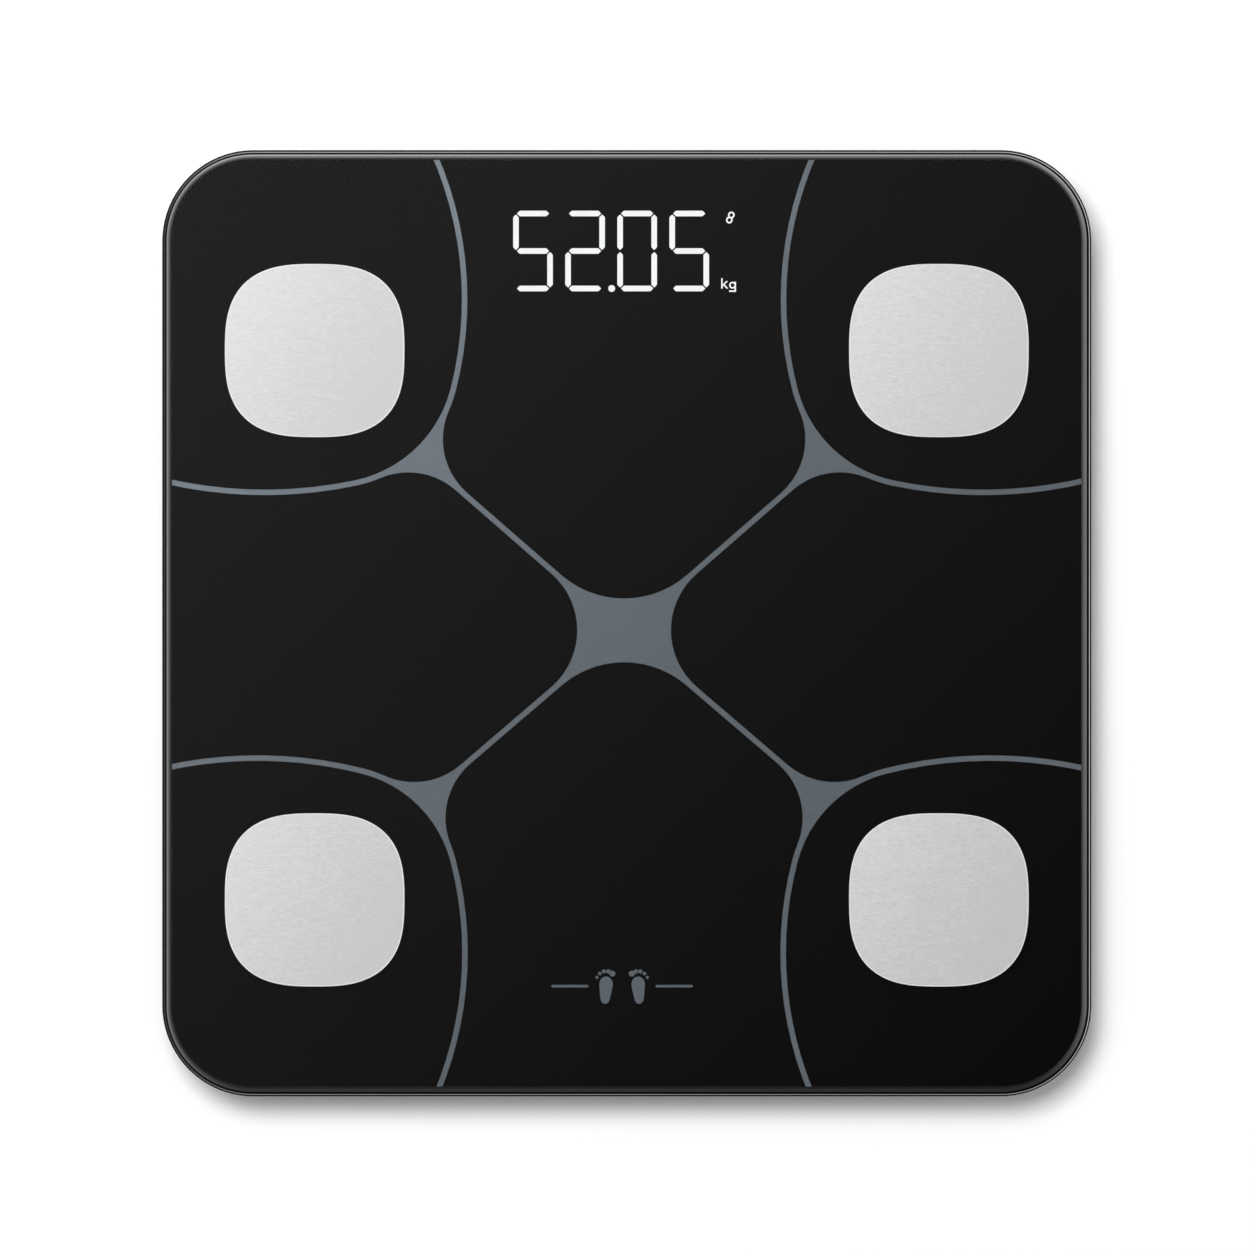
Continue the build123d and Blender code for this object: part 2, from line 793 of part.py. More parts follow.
for corner, (x, y) in feet.items():
    inward = -sign(x)

    with BuildPart() as carrier:
        with BuildSketch(Plane.XY.offset(cell_bottom_z)):
            with Locations((x, y)):
                Circle(carrier_radius)
        extrude(amount=carrier_deck_z - cell_bottom_z)
        with BuildSketch(Plane.XY.offset(pocket_top_z)):
            with Locations((x, y)):
                Circle(pocket_inner_radius + pocket_wall - 0.3)
            with Locations(*boss_places(corner)):
                Circle(boss_radius + 0.3)
        extrude(amount=carrier_deck_z - pocket_top_z)
        with BuildSketch(Plane.XY.offset(carrier_deck_z)):
            with Locations((x, y)):
                Circle(carrier_radius)
                Circle(carrier_radius - 1.6, mode=Mode.SUBTRACT)
                Circle(10.6)
                Circle(9.0, mode=Mode.SUBTRACT)
                with PolarLocations(16.6, 6):
                    Rectangle(13.2, 1.4)
        extrude(amount=housing_top_z - carrier_deck_z)
        with BuildSketch(Plane.XY.offset(cell_bottom_z)):
            with Locations((x, y)):
                RectangleRounded(load_cell_size + 0.4, load_cell_size + 0.4, 2.8)
        extrude(amount=cell_thickness, mode=Mode.SUBTRACT)
        with BuildSketch(Plane.XY.offset(cell_top_z)):
            with Locations((x, y)):
                RectangleRounded(flex_pocket, flex_pocket, 2)
            with Locations((x + inward * 19, y)):
                Rectangle(14, 4)
        extrude(amount=pocket_top_z - cell_top_z, mode=Mode.SUBTRACT)
        with BuildSketch(Plane.XY.offset(pocket_top_z)):
            with Locations(*boss_places(corner)):
                Circle(pilot_radius + 0.2)
        extrude(amount=carrier_deck_z - pocket_top_z, mode=Mode.SUBTRACT)
        with BuildSketch(Plane.XY.offset(cell_bottom_z - hook_drop)):
            with Locations((x, y)):
                with PolarLocations(load_cell_size / 2 + 0.6, 4):
                    Rectangle(hook_reach, hook_width)
        extrude(amount=hook_drop)
    save(carrier, f"cell_carrier_{corner}")

    with BuildPart() as load_cell:
        with BuildSketch(Plane.XY.offset(cell_bottom_z)):
            with Locations((x, y)):
                RectangleRounded(load_cell_size, load_cell_size, 3)
                Rectangle(slot_outer, slot_outer, mode=Mode.SUBTRACT)
                Rectangle(tongue_width, tongue_width)
            with Locations((x + inward * slot_outer / 2, y)):
                Rectangle(slot_outer - tongue_width, tongue_width)
        extrude(amount=cell_thickness)
    save(load_cell, f"load_cell_{corner}")

with BuildPart() as strain_gauges:
    with BuildSketch(Plane.XY.offset(cell_top_z)):
        for x, y in feet.values():
            with Locations((x - sign(x) * 10.4, y - 6), (x - sign(x) * 10.4, y + 6)):
                RectangleRounded(5, 6.5, 1)
    extrude(amount=0.4)
save(strain_gauges, "strain_gauges")


def save_screws(name, places, seat_z, length):
    """Pan-head screws that stand head up on a seat, with a cross recess."""
    with BuildPart() as set_of_screws:
        with BuildSketch(Plane.XY.offset(seat_z)):
            with Locations(*places):
                Circle(screw_head_radius)
        extrude(amount=screw_head_height)
        with BuildSketch(Plane.XY.offset(seat_z - length)):
            with Locations(*places):
                Circle(screw_radius)
        extrude(amount=length)
        with BuildSketch(Plane.XY.offset(seat_z + screw_head_height - 0.7)):
            with Locations(*places):
                Rectangle(2.6, 0.6)
                Rectangle(0.6, 2.6)
        extrude(amount=0.7, mode=Mode.SUBTRACT)
    save(set_of_screws, name)


save_screws("carrier_screws", all_boss_places, carrier_deck_z, 7.5)


# ---------------------------------------------------------------- feet

cup_floor_z = 4.4
cup_rim_z = cell_bottom_z - foot_travel - 0.05
flange_bottom_z = skin_top_z + 0.05
flange_reach = 1.8
flange_thickness = 1.15
cup_post_radius = 5.0
cup_rib_height = 2.8
pad_groove_radii = (5.5, 10.0, 14.5)

for corner, (x, y) in feet.items():
    with BuildPart() as foot_cup:
        with BuildSketch(Plane.XY.offset(cup_bottom_z)):
            with Locations((x, y)):
                Circle(cup_radius)
        extrude(amount=cup_floor_z - cup_bottom_z)
        chamfer(foot_cup.faces().sort_by(Axis.Z)[0].edges(), length=0.4)
        with BuildSketch(Plane.XY.offset(cup_floor_z)):
            with Locations((x, y)):
                Circle(cup_radius)
                Circle(cup_radius - cup_wall, mode=Mode.SUBTRACT)
        extrude(amount=cup_rim_z - cup_floor_z)
        with BuildSketch(Plane.XY.offset(flange_bottom_z)):
            with Locations((x, y)):
                Circle(cup_radius + flange_reach)
                Circle(cup_radius - cup_wall, mode=Mode.SUBTRACT)
        extrude(amount=flange_thickness)
        with BuildSketch(Plane.XY.offset(cup_floor_z)):
            with Locations((x, y)):
                with PolarLocations(12.5, 6):
                    Rectangle(17, 1.4)
        extrude(amount=cup_rib_height)
        with BuildSketch(Plane.XY.offset(cup_floor_z)):
            with Locations((x, y)):
                Circle(cup_post_radius)
        extrude(amount=cell_bottom_z - cup_floor_z)
        with BuildSketch(Plane.XY.offset(cup_bottom_z)):
            with Locations((x, y)):
                Circle(pad_radius + 0.1)
        extrude(amount=pad_thickness - cup_bottom_z, mode=Mode.SUBTRACT)
    save(foot_cup, f"foot_cup_{corner}")

    with BuildPart() as foot_pad:
        with BuildSketch():
            with Locations((x, y)):
                Circle(pad_radius)
        extrude(amount=pad_thickness)
        chamfer(foot_pad.faces().sort_by(Axis.Z)[0].edges(), length=0.5)
        with BuildSketch():
            with Locations((x, y)):
                for radius in pad_groove_radii:
                    Circle(radius)
                    Circle(radius - 0.9, mode=Mode.SUBTRACT)
        extrude(amount=0.5, mode=Mode.SUBTRACT)
    save(foot_pad, f"foot_pad_{corner}")


# ---------------------------------------------------------------- main board

connector_height = 4.4
connector_spans = ((-35.5, -23.5), (-21.0, -6.5), (-4.5, 4.5), (6.5, 21.0), (23.5, 35.5))
connector_depth = 5.4
# Controller, converter, memory and coil: opposite corners and height below the board
chips = (
    ((-22, 94), (-12, 104), 1.4),
    ((-6, 98), (0, 103), 1.6),
    ((8, 106), (13, 112), 1.2),
    ((-32, 106), (-28, 110), 2.4),
)
small_chip_count = 8
small_chip_x = -30.0
small_chip_y = 88.0
small_chip_pitch = 5.0

with BuildPart() as main_board:
    with BuildSketch(Plane.XY.offset(board_bottom_z)):
        with Locations((0, board_y)):
            RectangleRounded(board_width, board_depth, 2)
        with Locations(*board_screw_places):
            Circle(pilot_radius + 0.2, mode=Mode.SUBTRACT)
    extrude(amount=board_thickness)
save(main_board, "main_board")

with BuildPart() as board_connectors:
    for left, right in connector_spans:
        low = (left, connector_face_y, board_top_z)
        box_between(low, (right, connector_face_y + connector_depth, board_top_z + connector_height))
save(board_connectors, "board_connectors")

with BuildPart() as board_chips:
    for (left, front), (right, back), height in chips:
        box_between((left, front, board_bottom_z - height), (right, back, board_bottom_z))
    for step in range(small_chip_count):
        left = small_chip_x + small_chip_pitch * step
        low = (left, small_chip_y, board_bottom_z - 0.6)
        box_between(low, (left + 2, small_chip_y + 1.2, board_bottom_z))
save(board_chips, "board_chips")

save_screws("board_screws", board_screw_places, board_top_z, 5.5)


# ---------------------------------------------------------------- unit button and its switch

switch_bottom_z = 8.6
plunger_bottom_z = 7.9
plunger_top_z = 9.9
plunger_radius = 1.6
plunger_bore_depth = plunger_top_z + button_travel + 0.2 - switch_bottom_z

with BuildPart() as unit_switch:
    with BuildSketch(Plane.XY.offset(switch_bottom_z)):
        with Locations((button_x, button_y)):
            RectangleRounded(6, 6, 0.4)
    extrude(amount=board_bottom_z - switch_bottom_z)
    with BuildSketch(Plane.XY.offset(switch_bottom_z)):
        with Locations((button_x, button_y)):
            Circle(plunger_radius + 0.1)
    extrude(amount=plunger_bore_depth, mode=Mode.SUBTRACT)
save(unit_switch, "unit_switch")

with BuildPart() as switch_plunger:
    with BuildSketch(Plane.XY.offset(plunger_bottom_z)):
        with Locations((button_x, button_y)):
            Circle(plunger_radius)
    extrude(amount=plunger_top_z - plunger_bottom_z)
save(switch_plunger, "switch_plunger")

with BuildPart() as unit_button:
    with BuildSketch(Plane.XY.offset(skin_bottom_z + 0.3)):
        with Locations((button_x, button_y)):
            Circle(button_radius)
    extrude(amount=skin_top_z - skin_bottom_z)
    fillet(unit_button.faces().sort_by(Axis.Z)[0].edges(), radius=0.4)
    with BuildSketch(Plane.XY.offset(skin_top_z + 0.1)):
        with Locations((button_x, button_y)):
            Circle(button_guide_radius - 0.4)
    extrude(amount=1.0)
    with BuildSketch(Plane.XY.offset(skin_top_z + 0.1)):
        with Locations((button_x, button_y)):
            Circle(2)
    extrude(amount=plunger_bottom_z - skin_top_z - 0.1)
save(unit_button, "unit_button")


# ---------------------------------------------------------------- battery door

tongue_half_width = 6.0
tongue_length = 8.0
grip_count = 4
grip_pitch = 1.5
grip_height = 0.5
grip_half_length = 4.5

with BuildPart() as battery_door:
    box_between((-door_half_length, hinge_y, skin_bottom_z), (door_half_length, door_front_y, door_top_z))
    with Locations(Location((0, hinge_y, hinge_z), (0, 90, 0))):
        Cylinder(hinge_radius, 2 * door_half_length)
        Cylinder(hinge_pin_radius, 2 * (door_half_length + hinge_pin_length))
    # The latch tongue, freed by two slots, with ridges for a finger
    for side in (-1, 1):
        slot_x = side * (tongue_half_width + 0.5)
        box_between(
            (slot_x - 0.5, door_front_y - tongue_length, skin_bottom_z),
            (slot_x + 0.5, door_front_y, door_top_z),
            mode=Mode.SUBTRACT,
        )
    for step in range(grip_count):
        grip_y = door_front_y - 1.2 - grip_pitch * step
        low = (-grip_half_length, grip_y - 0.35, skin_bottom_z - grip_height)
        box_between(low, (grip_half_length, grip_y + 0.35, skin_bottom_z))
    # Stiffening ribs inside, between the cells
    for side in (-1, 1):
        rib_y = bay_y + side * battery_pitch / 2
        box_between((-20, rib_y - 0.5, door_top_z), (20, rib_y + 0.5, door_top_z + 1.2))
save(battery_door, "battery_door")


# ---------------------------------------------------------------- batteries and their contacts

contact_face_x = bay_half_length - contact_thickness
nub_length = 0.8
spring_room = 2 * contact_face_x - battery_length
plus_side = (1, -1, 1)
contact_depth = 8.4
contact_height = 9.4
nub_radius = 1.9


def is_can_rim(edge):
    """The circles at the two ends of a cell's can."""
    return abs(edge.radius - battery_radius) < 0.01


for number, (y, plus) in enumerate(zip(battery_ys, plus_side), start=1):
    end_x = plus * contact_face_x
    along = Plane((end_x, y, battery_z), z_dir=(-plus, 0, 0))
    with BuildPart() as battery:
        with BuildSketch(along):
            Circle(nub_radius)
        extrude(amount=nub_length)
        with BuildSketch(along.offset(nub_length)):
            Circle(battery_radius)
        extrude(amount=battery_length - nub_length)
        can_rims = battery.edges().filter_by(GeomType.CIRCLE).filter_by(is_can_rim)
        fillet(can_rims, radius=0.4)
    save(battery, f"battery_{number}")


def contact_plate(side, centre_y, depth):
    """A spring steel plate against one end wall of the bay."""
    with Locations((side * (bay_half_length - contact_thickness / 2), centre_y, battery_z)):
        Box(contact_thickness, depth, contact_height)


with BuildPart() as battery_contacts:
    pair_depth = battery_pitch + contact_depth
    contact_plate(1, (battery_ys[0] + battery_ys[1]) / 2, pair_depth)
    contact_plate(-1, (battery_ys[1] + battery_ys[2]) / 2, pair_depth)
    for side, y in ((-1, battery_ys[0]), (1, battery_ys[2])):
        contact_plate(side, y, contact_depth)
        tab_start = side * bay_half_length
        tab_end = side * (bay_half_length + bay_wall + 1.4)
        box_between(
            (min(tab_start, tab_end), y - 1, battery_z - 0.2),
            (max(tab_start, tab_end), y + 1, battery_z + 0.2),
        )
save(battery_contacts, "battery_contacts")

spring_wire = 0.5
spring_turns = 4
spring_radius = 3.4
spring_cone = -14.0
with BuildPart() as one_spring:
    with BuildLine() as coil:
        Helix(
            pitch=(spring_room - spring_wire) / spring_turns,
            height=spring_room - spring_wire,
            radius=spring_radius,
            cone_angle=spring_cone,
        )
    with BuildSketch(Plane(origin=coil.line @ 0, z_dir=coil.line % 0)):
        Circle(spring_wire / 2)
    sweep()

with BuildPart() as battery_springs:
    for y, plus in zip(battery_ys, plus_side):
        start_x = -plus * (contact_face_x - spring_wire / 2)
        along = Plane((start_x, y, battery_z), z_dir=(plus, 0, 0))
        add(along.location * one_spring.part)
save(battery_springs, "battery_springs")


# ---------------------------------------------------------------- leads

cell_lead_radius = 0.8
thin_lead_radius = 0.6
plug_z = board_top_z + connector_height / 2


def bend_radii(points):
    """For each corner of a route, the radius that takes 0.45 of the shorter run beside it."""
    radii = []
    for before, here, after in zip(points, points[1:], points[2:]):
        arriving = Vector(*here) - Vector(*before)
        leaving = Vector(*after) - Vector(*here)
        half_turn = radians(arriving.get_angle(leaving)) / 2
        radii.append(0.45 * min(arriving.length, leaving.length) / tan(half_turn))
    return radii


def save_lead(name, points, radius):
    """Sweep a round lead along straight runs joined by tangent arcs."""
    radii = bend_radii(points)
    with BuildPart() as piece:
        with BuildLine() as route:
            FilletPolyline(*points, radius=radii)
        with BuildSketch(Plane(origin=route.line @ 0, z_dir=route.line % 0)):
            Circle(radius)
        sweep()
    save(piece, name)
    length = sum(edge.length for edge in route.edges())
    ratio = piece.part.volume / (pi * radius**2 * length)
    shown = ", ".join(f"{value:.1f}" for value in radii)
    print(f"{name}: length {length:.1f}, volume ratio {ratio:.4f}, radii {shown}")


def mirrored(points, side):
    """The same route on the left (-1) or the right (1)."""
    return [(side * x, y, z) for x, y, z in points]


rear_cell_route = [
    (74.6, 90.0, 11.9),
    (58.0, 90.0, 11.9),
    (47.6, 77.4, 8.2),
    (35.0, 69.0, 8.0),
    (23.5, 66.0, 10.5),
    (18.0, 73.2, plug_z),
    (18.0, connector_face_y, plug_z),
]
front_cell_route = [
    (74.6, -90.0, 11.9),
    (58.0, -90.0, 11.9),
    (48.5, -76.0, 7.6),
    (45.5, -48.0, 7.0),
    (46.6, -8.0, 7.1),
    (45.4, 32.0, 7.0),
    (31.5, 58.0, 7.4),
    (13.5, 64.0, 9.5),
    (9.5, 73.2, plug_z),
    (9.5, connector_face_y, plug_z),
]
rear_electrode_route = [
    (64.4, 58.2, 17.75),
    (55.0, 58.2, 17.75),
    (44.5, 63.0, 16.2),
    (34.5, 65.5, 15.5),
    (32.0, 74.2, plug_z),
    (32.0, connector_face_y, plug_z),
]
front_electrode_route = [
    (64.4, -59.3, 17.75),
    (56.5, -59.3, 17.75),
    (53.4, -49.5, 16.2),
    (54.0, -31.0, 13.8),
    (54.8, 4.0, 12.6),
    (53.0, 37.0, 12.8),
    (42.0, 59.0, 13.2),
    (29.5, 66.5, 14.4),
    (26.0, 74.2, plug_z),
    (26.0, connector_face_y, plug_z),
]
positive_route = [
    (28.2, 41.6, 11.75),
    (35.4, 42.6, 11.6),
    (35.5, 51.5, 10.4),
    (28.0, 57.5, 9.6),
    (14.0, 59.0, 9.0),
    (5.0, 65.5, 11.2),
    (2.0, 74.0, plug_z),
    (2.0, connector_face_y, plug_z),
]
negative_route = [
    (-28.2, 18.4, 11.75),
    (-35.4, 19.4, 11.6),
    (-36.0, 29.0, 10.6),
    (-35.8, 45.0, 9.6),
    (-27.0, 56.5, 9.2),
    (-13.5, 59.5, 9.0),
    (-5.0, 65.5, 11.2),
    (-2.0, 74.0, plug_z),
    (-2.0, connector_face_y, plug_z),
]

for side, hand in ((-1, "left"), (1, "right")):
    save_lead(f"cell_lead_rear_{hand}", mirrored(rear_cell_route, side), cell_lead_radius)
    save_lead(f"cell_lead_front_{hand}", mirrored(front_cell_route, side), cell_lead_radius)
    save_lead(f"electrode_lead_rear_{hand}", mirrored(rear_electrode_route, side), thin_lead_radius)
    save_lead(f"electrode_lead_front_{hand}", mirrored(front_electrode_route, side), thin_lead_radius)
save_lead("battery_lead_positive", positive_route, thin_lead_radius)
save_lead("battery_lead_negative", negative_route, thin_lead_radius)
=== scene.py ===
"""Digital bathroom scale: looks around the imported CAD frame. Metres, +Z up, +Y towards the display."""

import math

import bmesh
import bpy
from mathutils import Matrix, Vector


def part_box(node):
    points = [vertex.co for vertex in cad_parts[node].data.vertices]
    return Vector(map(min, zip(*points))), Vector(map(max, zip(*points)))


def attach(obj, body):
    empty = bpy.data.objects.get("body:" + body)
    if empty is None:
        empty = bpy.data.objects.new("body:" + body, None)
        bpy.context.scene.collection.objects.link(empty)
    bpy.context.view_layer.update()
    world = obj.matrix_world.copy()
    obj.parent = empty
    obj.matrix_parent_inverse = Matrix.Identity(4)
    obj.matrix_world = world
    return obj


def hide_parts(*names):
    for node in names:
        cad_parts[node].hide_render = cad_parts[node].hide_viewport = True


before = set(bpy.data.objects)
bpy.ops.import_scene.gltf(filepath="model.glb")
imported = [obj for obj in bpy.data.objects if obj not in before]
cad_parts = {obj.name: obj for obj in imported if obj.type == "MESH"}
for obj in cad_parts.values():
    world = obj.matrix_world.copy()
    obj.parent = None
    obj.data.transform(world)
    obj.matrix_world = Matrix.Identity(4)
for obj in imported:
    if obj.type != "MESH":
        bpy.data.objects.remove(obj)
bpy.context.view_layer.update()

MM = 0.001
CORNERS = ("front_left", "front_right", "rear_left", "rear_right")

plate_low, plate_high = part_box("glass_plate")
plate_half_x = plate_high[0]
plate_half_y = plate_high[1]
plate_bottom_z = plate_low[2]
plate_top_z = plate_high[2]
plate_corner_radius = 25.5 * MM


# ---------------------------------------------------------------- camera

VIEW_WIDTH = 350.4 * MM  # what the square frame takes in at the top of the plate
LENS = 200.0  # millimetres, as Blender has them
SENSOR = 36.0
AIM_X = 0.07 * MM
AIM_Y = -1.05 * MM


def make_camera():
    """A long lens straight above the plate, with the display end up."""
    data = bpy.data.cameras.new("camera")
    data.lens = LENS
    data.sensor_width = SENSOR
    data.clip_start = 0.1
    data.clip_end = 20
    camera = bpy.data.objects.new("camera", data)
    camera.location = (AIM_X, AIM_Y, plate_top_z + VIEW_WIDTH * LENS / SENSOR)
    bpy.context.collection.objects.link(camera)
    bpy.context.scene.camera = camera


# ---------------------------------------------------------------- node helpers

NOISE_RANGE = (0.3, 0.7)  # where most of a noise's values lie
CORNER_UNIT = 104 * MM


class Tree:
    """The node tree of a material or of the world, and short ways to add to it."""

    def __init__(self, owner):
        self.nodes = owner.node_tree.nodes
        self.links = owner.node_tree.links

    def feed(self, socket, value):
        """Links a socket to another one, or gives it a plain number or vector."""
        if isinstance(value, bpy.types.NodeSocket):
            self.links.new(value, socket)
        else:
            socket.default_value = value

    def maths(self, operation, *values):
        """One arithmetic step on sockets and numbers."""
        node = self.nodes.new("ShaderNodeMath")
        node.operation = operation
        for socket, value in zip(node.inputs, values):
            self.feed(socket, value)
        return node.outputs["Value"]

    def vector_maths(self, operation, *vectors):
        """One step on vectors, each a socket or three numbers."""
        node = self.nodes.new("ShaderNodeVectorMath")
        node.operation = operation
        for socket, vector in zip(node.inputs, vectors):
            self.feed(socket, vector)
        return node.outputs["Vector"]

    def axes(self, vector):
        """The X, Y and Z of a vector."""
        node = self.nodes.new("ShaderNodeSeparateXYZ")
        self.links.new(vector, node.inputs["Vector"])
        return node.outputs["X"], node.outputs["Y"], node.outputs["Z"]

    def remap(self, value, start, end, low, high, curve="LINEAR"):
        """A value mapped from one range to another, and held at its ends."""
        node = self.nodes.new("ShaderNodeMapRange")
        node.interpolation_type = curve
        labels = ("From Min", "From Max", "To Min", "To Max")
        for label, number in zip(labels, (start, end, low, high)):
            node.inputs[label].default_value = number
        self.links.new(value, node.inputs["Value"])
        return node.outputs["Result"]

    def rise(self, value, start, end):
        """Zero below a band of the value and one above it."""
        return self.remap(value, start, end, 0, 1, "SMOOTHSTEP")

    def fall(self, value, start, end):
        """One below a band of the value and zero above it."""
        return self.remap(value, start, end, 1, 0, "SMOOTHSTEP")

    def blend(self, share, first, second):
        """A blend of two values, each a socket or a number."""
        node = self.nodes.new("ShaderNodeMix")
        value_inputs = [socket for socket in node.inputs if socket.type == "VALUE"]
        for socket, value in zip(value_inputs, (share, first, second)):
            self.feed(socket, value)
        return node.outputs["Result"]

    def tint(self, share, first, second):
        """A blend of two colours, each a socket or three numbers."""
        node = self.nodes.new("ShaderNodeMix")
        node.data_type = "RGBA"
        self.links.new(share, node.inputs["Factor"])
        colour_inputs = [socket for socket in node.inputs if socket.type == "RGBA"]
        for socket, colour in zip(colour_inputs, (first, second)):
            self.feed(socket, (*colour, 1) if isinstance(colour, tuple) else colour)
        return [socket for socket in node.outputs if socket.type == "RGBA"][0]

    def mix_surfaces(self, share, first, second):
        """A blend of two shaders."""
        node = self.nodes.new("ShaderNodeMixShader")
        for socket, source in zip(node.inputs, (share, first, second)):
            self.links.new(source, socket)
        return node.outputs["Shader"]


class Shader(Tree):
    """A material with its Principled shader, and what commonly feeds that."""

    def __init__(self, name, colour, roughness, metallic=0.0, specular=0.5):
        self.material = bpy.data.materials.new(name)
        self.material.use_nodes = True
        super().__init__(self.material)
        self.colour = colour
        self.surface = self.nodes["Principled BSDF"]
        self.surface.inputs["Base Color"].default_value = (*colour, 1)
        self.surface.inputs["Roughness"].default_value = roughness
        self.surface.inputs["Metallic"].default_value = metallic
        self.surface.inputs["Specular IOR Level"].default_value = specular
        coordinates = self.nodes.new("ShaderNodeTexCoord")
        self.place = coordinates.outputs["Object"]
        self.share_of_box = coordinates.outputs["Generated"]
        self.facing = coordinates.outputs["Normal"]

    def noise(self, scale, detail=3, stretch=(1, 1, 1)):
        """Fractal noise from 0 to 1, with that many features in a metre, times the stretch."""
        mapping = self.nodes.new("ShaderNodeMapping")
        mapping.inputs["Scale"].default_value = stretch
        self.links.new(self.place, mapping.inputs["Vector"])
        node = self.nodes.new("ShaderNodeTexNoise")
        node.inputs["Scale"].default_value = scale
        node.inputs["Detail"].default_value = detail
        self.links.new(mapping.outputs["Vector"], node.inputs["Vector"])
        return node.outputs["Fac"]

    def cells(self, scale):
        """Distance to the nearest point of a random set, for grainy textures."""
        node = self.nodes.new("ShaderNodeTexVoronoi")
        node.inputs["Scale"].default_value = scale
        self.links.new(self.place, node.inputs["Vector"])
        return node.outputs["Distance"]

    def spread(self, noise, low, high):
        """A noise mapped to another range."""
        return self.remap(noise, *NOISE_RANGE, low, high)

    def corner(self):
        """How far a point lies towards the upper left of the plate: about 2.5 at that corner."""
        x, y, _ = self.axes(self.place)
        return self.maths("MULTIPLY", self.maths("SUBTRACT", y, x), 1 / CORNER_UNIT)

    def varied_colour(self, noise, darker, lighter):
        """The base colour between two shares of itself."""
        dark = tuple(c * darker for c in self.colour)
        light = tuple(min(c * lighter, 1.0) for c in self.colour)
        return self.tint(self.spread(noise, 0, 1), dark, light)

    def vary_colour(self, noise, darker, lighter):
        colour = self.varied_colour(noise, darker, lighter)
        self.links.new(colour, self.surface.inputs["Base Color"])

    def vary_roughness(self, noise, low, high):
        self.links.new(self.spread(noise, low, high), self.surface.inputs["Roughness"])

    def bump(self, height, strength, depth):
        """Relief of that depth in metres."""
        node = self.nodes.new("ShaderNodeBump")
        node.inputs["Strength"].default_value = strength
        node.inputs["Distance"].default_value = depth
        self.links.new(height, node.inputs["Height"])
        self.links.new(node.outputs["Normal"], self.surface.inputs["Normal"])

    def transparent(self, colour):
        """A shader that lets light straight through."""
        node = self.nodes.new("ShaderNodeBsdfTransparent")
        node.inputs["Color"].default_value = (*colour, 1)
        return node.outputs["BSDF"]

    def show(self, result):
        """Puts another shader on the surface in the Principled one's place."""
        self.links.new(result, self.nodes["Material Output"].inputs["Surface"])


# ---------------------------------------------------------------- finishes, some with painted light


def moulded_plastic(name, colour, roughness):
    """Moulded plastic with a fine spark texture and slow changes of sheen."""
    sheen_change = 0.08
    shader = Shader(name, colour, roughness)
    shader.bump(shader.cells(2600), strength=0.35, depth=0.03 * MM)
    shader.vary_roughness(shader.noise(90, detail=4), roughness - sheen_change, roughness + sheen_change)
    shader.vary_colour(shader.noise(40), darker=0.88, lighter=1.14)
    return shader.material


def soft_rubber(name, colour):
    """Dull rubber with a dusty bloom."""
    shader = Shader(name, colour, roughness=0.8)
    shader.bump(shader.noise(1800, detail=4), strength=0.5, depth=0.04 * MM)
    shader.vary_roughness(shader.noise(160, detail=5), low=0.7, high=0.92)
    shader.vary_colour(shader.noise(120, detail=5), darker=0.75, lighter=1.35)
    return shader.material


def plated_metal(name, colour, roughness, stretch=(1, 1, 1)):
    """Plated metal with faint tooling marks."""
    shader = Shader(name, colour, roughness, metallic=1.0)
    shader.bump(shader.noise(900, stretch=stretch), strength=0.25, depth=0.01 * MM)
    shader.vary_roughness(shader.noise(260, detail=4), roughness * 0.75, roughness * 1.3)
    shader.vary_colour(shader.noise(300), darker=0.9, lighter=1.06)
    return shader.material


FINE_STROKES = (620, 3000, 620)
COARSE_STROKES = (190, 1000, 190)
COARSE_SHARE = 0.3
# Painted sheen: how much the electrodes' tone rises towards the left and the top, where the light comes
# from.
PAINTED_SHEEN_BY_X = -0.3
PAINTED_SHEEN_BY_Y = 0.15
ELECTRODE_EXPONENT = 2.78
# Painted highlight: the band near each electrode's outline that is turned white.
ELECTRODE_HIGHLIGHT_RIM = (0.955, 0.975)


def towards_outline(shader, exponent):
    """Zero in the middle of each piece, seen from above, and one on its superellipse outline."""
    terms = []
    for share in shader.axes(shader.share_of_box)[:2]:
        from_middle = shader.maths("ABSOLUTE", shader.maths("MULTIPLY_ADD", share, 2.0, -1.0))
        terms.append(shader.maths("POWER", from_middle, exponent))
    return shader.maths("ADD", *terms)


def brushed_steel(name, colour):
    """Stainless steel with short fine brushing strokes along X, and a painted white highlight along the
    outline of each electrode.

    Its tone rises a little towards the upper left of each electrode: a painted sheen from the light on
    that side.
    """
    shader = Shader(name, colour, roughness=0.36, metallic=1.0)
    fine = shader.noise(1, detail=2, stretch=FINE_STROKES)
    coarse = shader.noise(1, detail=3, stretch=COARSE_STROKES)
    strokes = shader.blend(COARSE_SHARE, fine, coarse)
    shader.bump(strokes, strength=0.25, depth=0.005 * MM)
    shader.vary_roughness(strokes, low=0.31, high=0.42)
    # Painted sheen: the strokes' tone is made lighter towards the upper left of each electrode.
    x, y, _ = shader.axes(shader.share_of_box)
    sheen = shader.maths("MULTIPLY_ADD", x, PAINTED_SHEEN_BY_X, strokes)
    sheen = shader.maths("MULTIPLY_ADD", y, PAINTED_SHEEN_BY_Y, sheen)
    brushed_with_painted_sheen = shader.varied_colour(sheen, darker=0.9, lighter=1.1)
    # Painted highlight: the base colour turns white along each electrode's outline.
    rim = shader.remap(towards_outline(shader, ELECTRODE_EXPONENT), *ELECTRODE_HIGHLIGHT_RIM, 0, 1)
    with_painted_highlight = shader.tint(rim, brushed_with_painted_sheen, (1.0, 1.0, 1.0))
    shader.links.new(with_painted_highlight, shader.surface.inputs["Base Color"])
    return shader.material


# How fast the grey print's painted light steepens towards the upper left.
PAINTED_LIGHT_CURVE = 0.6


